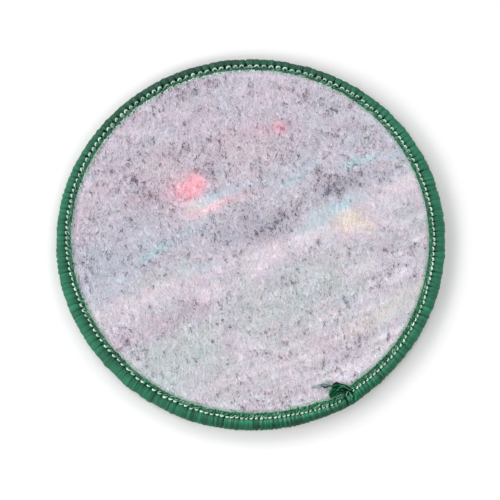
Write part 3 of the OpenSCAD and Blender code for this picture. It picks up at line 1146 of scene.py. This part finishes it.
# Each strand: the points of its route, half thickness, height and colour
TAIL_STRANDS = [
    ([(20.8, -32.1), (19.9, -32.2), (18.6, -32.2), (17.6, -32.0), (16.8, -31.5), (16.2, -31.2)],
     0.34, 2.70, "near_black"),
    ([(20.6, -31.9), (19.6, -31.7), (18.4, -31.6), (17.5, -31.7), (16.8, -32.1)], 0.34, 2.78, "near_black"),
    ([(20.5, -32.3), (19.4, -32.5), (18.3, -32.6), (17.4, -32.5), (16.7, -32.7)], 0.26, 2.74, "deep"),
    ([(17.5, -31.8), (16.7, -31.8), (16.1, -32.3), (15.9, -32.9), (16.1, -33.3), (16.7, -33.4)],
     0.26, 2.76, "mid"),
    ([(17.6, -32.1), (16.9, -32.4), (16.5, -32.9), (16.4, -33.3)], 0.28, 2.78, "deep"),
    ([(17.3, -31.6), (16.4, -31.6), (15.9, -32.1), (15.7, -32.7), (15.8, -33.1)], 0.16, 2.84, "mid"),
    ([(19.4, -31.5), (18.4, -31.2), (17.5, -31.1), (16.6, -31.2)], 0.30, 2.80, "near_black"),
    ([(18.6, -32.3), (17.7, -32.7), (17.0, -33.1), (16.5, -33.4)], 0.30, 2.70, "deep"),
    ([(17.8, -31.9), (16.9, -32.0), (16.3, -32.6), (16.2, -33.2)], 0.30, 2.66, "deep"),
    ([(20.0, -31.8), (19.3, -31.2), (18.6, -30.9), (17.8, -30.7), (17.1, -30.5), (16.3, -30.7)],
     0.13, 2.96, "brown"),
    ([(20.1, -31.9), (19.2, -31.6), (18.2, -31.1), (17.3, -30.9), (16.5, -31.0), (15.8, -31.2)],
     0.12, 2.98, "fresh"),
    ([(17.1, -32.0), (17.6, -31.5), (18.2, -31.2), (18.9, -31.0)], 0.10, 3.06, "fresh"),
    ([(17.7, -31.9), (16.9, -32.2), (16.4, -32.7), (16.2, -33.1)], 0.055, 3.02, "bright"),
    ([(17.2, -31.5), (16.5, -31.7), (16.1, -32.1), (16.0, -32.6)], 0.05, 3.03, "fresh"),
    ([(17.5, -32.5), (16.8, -32.9), (16.3, -33.3)], 0.055, 3.00, "fresh"),
    ([(19.1, -32.2), (18.3, -32.4), (17.5, -32.4)], 0.045, 3.04, "mid"),
    ([(19.7, -31.9), (18.6, -31.4), (17.7, -31.1), (17.0, -30.8), (16.2, -30.9)], 0.15, 2.90, "deep"),
    ([(19.8, -32.0), (18.7, -31.6), (17.8, -31.3), (17.0, -31.2), (16.1, -31.2)], 0.22, 2.84, "deep"),
    ([(17.3, -30.7), (17.2, -30.4), (17.0, -30.2)], 0.07, 2.96, "brown"),
    ([(16.5, -31.1), (15.7, -31.1), (14.9, -31.3), (14.4, -31.4)], 0.10, 2.92, "dusk"),
    ([(15.3, -31.4), (14.7, -31.3), (14.3, -31.1), (13.9, -31.0)], 0.085, 2.92, "dusk"),
    ([(14.2, -31.1), (13.7, -31.0), (13.2, -31.1), (12.6, -31.3), (11.9, -31.5)], 0.055, 2.90, "haze"),
    ([(16.2, -30.9), (15.6, -30.5), (15.0, -30.1), (14.7, -29.9)], 0.06, 2.92, "pale"),
    ([(16.0, -30.8), (15.1, -30.6), (14.4, -30.5), (13.8, -30.8)], 0.05, 2.91, "haze"),
    ([(16.1, -31.1), (15.4, -30.8), (14.7, -30.7), (14.1, -30.8), (13.6, -31.0)], 0.055, 2.92, "haze"),
    ([(15.0, -31.2), (14.6, -31.1), (14.1, -31.2), (13.7, -31.4), (13.1, -31.6)], 0.05, 2.91, "haze"),
    ([(15.7, -30.6), (15.0, -30.4), (14.4, -30.3)], 0.06, 2.92, "pale"),
    ([(16.1, -31.4), (15.5, -31.7), (15.0, -32.1), (14.8, -32.6)], 0.045, 2.90, "haze"),
    ([(15.2, -33.8), (16.0, -33.7), (16.8, -33.3), (17.6, -33.0), (18.5, -32.8)], 0.08, 3.00, "join"),
]
JOIN_STRANDS = [
    ([(19.3, -33.1), (19.5, -33.7), (19.8, -34.3)], 0.05, 3.04, "join"),
    ([(19.7, -32.6), (20.0, -33.4), (20.3, -34.2), (20.6, -34.8)], 0.12, 3.04, "fresh"),
    ([(20.1, -32.5), (20.3, -33.2), (20.6, -33.9)], 0.13, 3.06, "brown"),
    ([(18.9, -33.4), (19.1, -34.1), (19.4, -34.8), (19.6, -35.4)], 0.12, 3.00, "deep"),
    ([(20.5, -32.4), (20.7, -33.1), (21.1, -33.8), (21.4, -34.4)], 0.17, 3.02, "bright"),
    ([(19.6, -32.4), (19.8, -32.9), (20.4, -33.4)], 0.05, 3.08, "join"),
]


def smooth_route(points, count):
    """A rounded route through a few given points."""
    points = np.array(points, float)
    fine = np.linspace(0, len(points) - 1, count)
    i = np.clip(fine.astype(int), 0, len(points) - 2)
    f = (fine - i)[:, None]
    before = points[np.maximum(i - 1, 0)]
    after = points[np.minimum(i + 2, len(points) - 1)]
    a, b = points[i], points[i + 1]
    return 0.5 * (2 * a + (b - before) * f + (2 * before - 5 * a + 4 * b - after) * f**2
                  + (3 * a - before - 3 * b + after) * f**3)


# Loose yarn bends down past this radius, where the wraps below it turn down over the rim
OVER_RIM_R = 38.9
# How many fibres a thick and a thin strand have, and the half thickness that parts the two
FIBRES_OF_THICK = 5
FIBRES_OF_THIN = 3
THICK_STRAND = 0.11


def stray_fibre(route, run, size):
    """A fibre of a loose strand, wound round it and straying from it towards its end."""
    turn = TURN * (rng.random() + 0.8 * run)
    stray = size * 0.8 + 0.10 * run**2 * rng.random()
    slope = np.gradient(route[:, :2], axis=0)
    slope /= np.linalg.norm(slope, axis=1, keepdims=True)
    aside = np.cos(turn) * stray
    return route + np.column_stack([-slope[:, 1] * aside, slope[:, 0] * aside, np.sin(turn) * stray * 0.7])


def lay_loose_yarn(name, rows):
    """Lays loose strands and their fibres in the places where they are, with no settling."""
    sections = 12
    routes, sizes, shades = [], [], []
    run = np.linspace(0, 1, sections + 1)
    taper = np.clip(np.minimum(run * 6 + 0.6, (1 - run) * 5 + 0.35), 0, 1)
    for points, size, z, colour in rows:
        rise = z + 0.06 * np.sin(math.pi * run) - 0.05 * (1 - run)
        route = np.column_stack([smooth_route(points, sections + 1), rise])
        r = np.hypot(route[:, 0], route[:, 1])
        over = 0.6 * np.maximum(r - OVER_RIM_R, 0)
        route[:, :2] *= (np.where(r > OVER_RIM_R, OVER_RIM_R + over, r) / r)[:, None]
        route[:, 2] -= 0.9 * over**2
        routes.append(route)
        sizes.append(size * 0.85 * taper)
        shades.append(LOOSE_YARN[colour] * (0.8 + 0.2 * rng.random()))
        for _ in range(FIBRES_OF_THICK if size > THICK_STRAND else FIBRES_OF_THIN):
            routes.append(stray_fibre(route, run, size))
            sizes.append((0.03 + 0.30 * size) * taper)
            shades.append(LOOSE_YARN[colour] * (0.4 + 1.6 * rng.random() ** 2))
    wide = np.array(sizes)
    tint = np.array(shades)[:, None]
    return lay(name, model_strand(6, sections), np.array(routes), wide, wide * 0.9, tint, settled=False)


def make_tail():
    material = yarn_material("tail_yarn", 0.8, 0.0, 14, 0.1)
    tail = lay_loose_yarn("thread_tail_strands", TAIL_STRANDS)
    finish_piece(tail, "tail_yarn", material, "thread_tail")
    ends = lay_loose_yarn("join_loose_strands", JOIN_STRANDS)
    finish_piece(ends, "edge_yarn", material)


# The printed front: a twill with raised diagonal ribs, which lie half sunk in the cloth's underside

CLOTH_LOW_Z = 0.62
RIB_PITCH = 0.62
RIB_ANGLE = math.radians(58)
RIB_HALF_HEIGHT = 0.11
RIB_SECTIONS = 28
SHORTEST_RIB = 4


def make_twill():
    cloth = add_primitive(
        bpy.ops.mesh.primitive_cylinder_add, "face_cloth",
        vertices=180, radius=(layer_r - CUT_SHORT) * MM, depth=(face_top_z - CLOTH_LOW_Z) * MM,
        location=(0, 0, (face_top_z + CLOTH_LOW_Z) / 2 * MM))
    settle_piece(cloth)
    material = twill_material("face_twill")
    finish_piece(cloth, "face_twill", material, "face_fabric")
    ribs_each_side = int(inner_r / RIB_PITCH)
    across = np.arange(-ribs_each_side, ribs_each_side + 1)[:, None] * RIB_PITCH
    half = np.sqrt(np.maximum((inner_r - 0.15) ** 2 - across**2, 0))
    long_enough = half[:, 0] > SHORTEST_RIB / 2
    across, half = across[long_enough], half[long_enough]
    run = np.linspace(-1, 1, RIB_SECTIONS + 1) * half
    offset = across + 0.05 * np.sin(run * 2.6 + across * 3)
    x = run * math.cos(RIB_ANGLE) - offset * math.sin(RIB_ANGLE)
    y = run * math.sin(RIB_ANGLE) + offset * math.cos(RIB_ANGLE)
    centre = np.stack([x, y, np.full_like(x, CLOTH_LOW_Z)], -1)
    high = np.full(x.shape, RIB_HALF_HEIGHT)
    broad = np.full(x.shape, RIB_PITCH * 0.52)
    ribs = lay("face_twill_ribs", model_strand(6, RIB_SECTIONS), centre, high, broad, np.ones(3))
    finish_piece(ribs, "face_twill", material)


# Camera, floor and light

# How strong the white sky is
SKY = 0.08
LAMPS = [
    # name, azimuth and elevation in degrees, size in metres, power
    ("left_back", 118, 29, 0.5, 3.0),
    ("left", 150, 29, 0.5, 3.8),
    ("left_front", 190, 29, 0.5, 4.4),
    ("front_left", 226, 29, 0.5, 4.5),
    ("front", 280, 46, 0.5, 2.5),
    ("right", 330, 45, 0.5, 1.9),
    ("back", 62, 36, 0.6, 3.2),
    ("low_right", 345, 12, 0.5, 3.4),
    ("top", 0, 88, 0.6, 0.8),
]


def make_stage():
    floor = add_primitive(bpy.ops.mesh.primitive_plane_add, "floor", size=3, location=(0, 0, 0))
    white, shader = new_material("floor_white", 1.0, 0.0, 0.0)
    shader.inputs["Base Color"].default_value = (0.75, 0.75, 0.75, 1)
    floor.data.materials.append(white)
    make_backdrop()
    scene = bpy.context.scene
    scene.view_settings.view_transform = "Standard"
    scene.world = bpy.data.worlds.new("studio")
    scene.world.use_nodes = True
    sky = scene.world.node_tree.nodes["Background"]
    sky.inputs["Color"].default_value = (1, 1, 1, 1)
    sky.inputs["Strength"].default_value = SKY
    for lamp in LAMPS:
        add_lamp(*lamp)


def make_backdrop():
    """A white wall all round, lit for the camera alone, so that low views have no dark horizon."""
    wall = add_primitive(
        bpy.ops.mesh.primitive_cylinder_add, "backdrop",
        vertices=96, radius=0.8, depth=0.3, end_fill_type="NOTHING", location=(0, 0, 0.15))
    white, shader = new_material("backdrop_white", 1.0, 0.0, 0.0)
    shader.inputs["Emission Color"].default_value = (1, 1, 1, 1)
    shader.inputs["Emission Strength"].default_value = 1.0
    wall.data.materials.append(white)
    wall.visible_diffuse = False
    wall.visible_glossy = False
    wall.visible_transmission = False
    wall.visible_shadow = False


def add_lamp(name, azimuth, elevation, size, energy):
    """A round softbox one metre away, in the given direction, facing the patch."""
    light = bpy.data.lights.new(name, "AREA")
    light.shape = "DISK"
    light.size = size
    light.energy = energy
    lamp = bpy.data.objects.new(name, light)
    bpy.context.scene.collection.objects.link(lamp)
    turn, rise = math.radians(azimuth), math.radians(elevation)
    towards = Vector((math.cos(turn) * math.cos(rise), math.sin(turn) * math.cos(rise), math.sin(rise)))
    lamp.location = towards
    lamp.rotation_euler = towards.to_track_quat("Z", "Y").to_euler()


# A long lens, the photo's frame, scale and angle, and where the centre of the patch lies in it
LENS = 200
SENSOR = 36
PIXELS = 500
PIXELS_PER_MM = 4.888
ELEVATION = math.radians(72.4)
CENTRE_X_PX = 251.6
CENTRE_Y_PX = 240.85


def make_camera():
    camera = bpy.data.cameras.new("camera")
    camera.lens = LENS
    camera.sensor_width = SENSOR
    camera.dof.use_dof = False
    eye = bpy.data.objects.new("camera", camera)
    bpy.context.scene.collection.objects.link(eye)
    back = Vector((0, -math.cos(ELEVATION), math.sin(ELEVATION)))
    up = Vector((0, math.sin(ELEVATION), math.cos(ELEVATION)))
    distance = PIXELS / PIXELS_PER_MM * MM * LENS / SENSOR
    aim = Vector((0, 0, patch_t / 2 * MM))
    aim += Vector((1, 0, 0)) * (PIXELS / 2 - CENTRE_X_PX) / PIXELS_PER_MM * MM
    aim -= up * (PIXELS / 2 - CENTRE_Y_PX) / PIXELS_PER_MM * MM
    eye.location = aim + back * distance
    eye.rotation_euler = back.to_track_quat("Z", "Y").to_euler()
    camera.clip_start = distance * 0.1
    camera.clip_end = distance * 10
    bpy.context.scene.camera = eye


make_camera()
make_stage()
make_wraps()
make_core()
make_lock_thread()
make_chain()
make_fringe()
make_loop_ground()
make_pile()
make_dark_tips()
make_needle_holes()
make_tail()
make_twill()
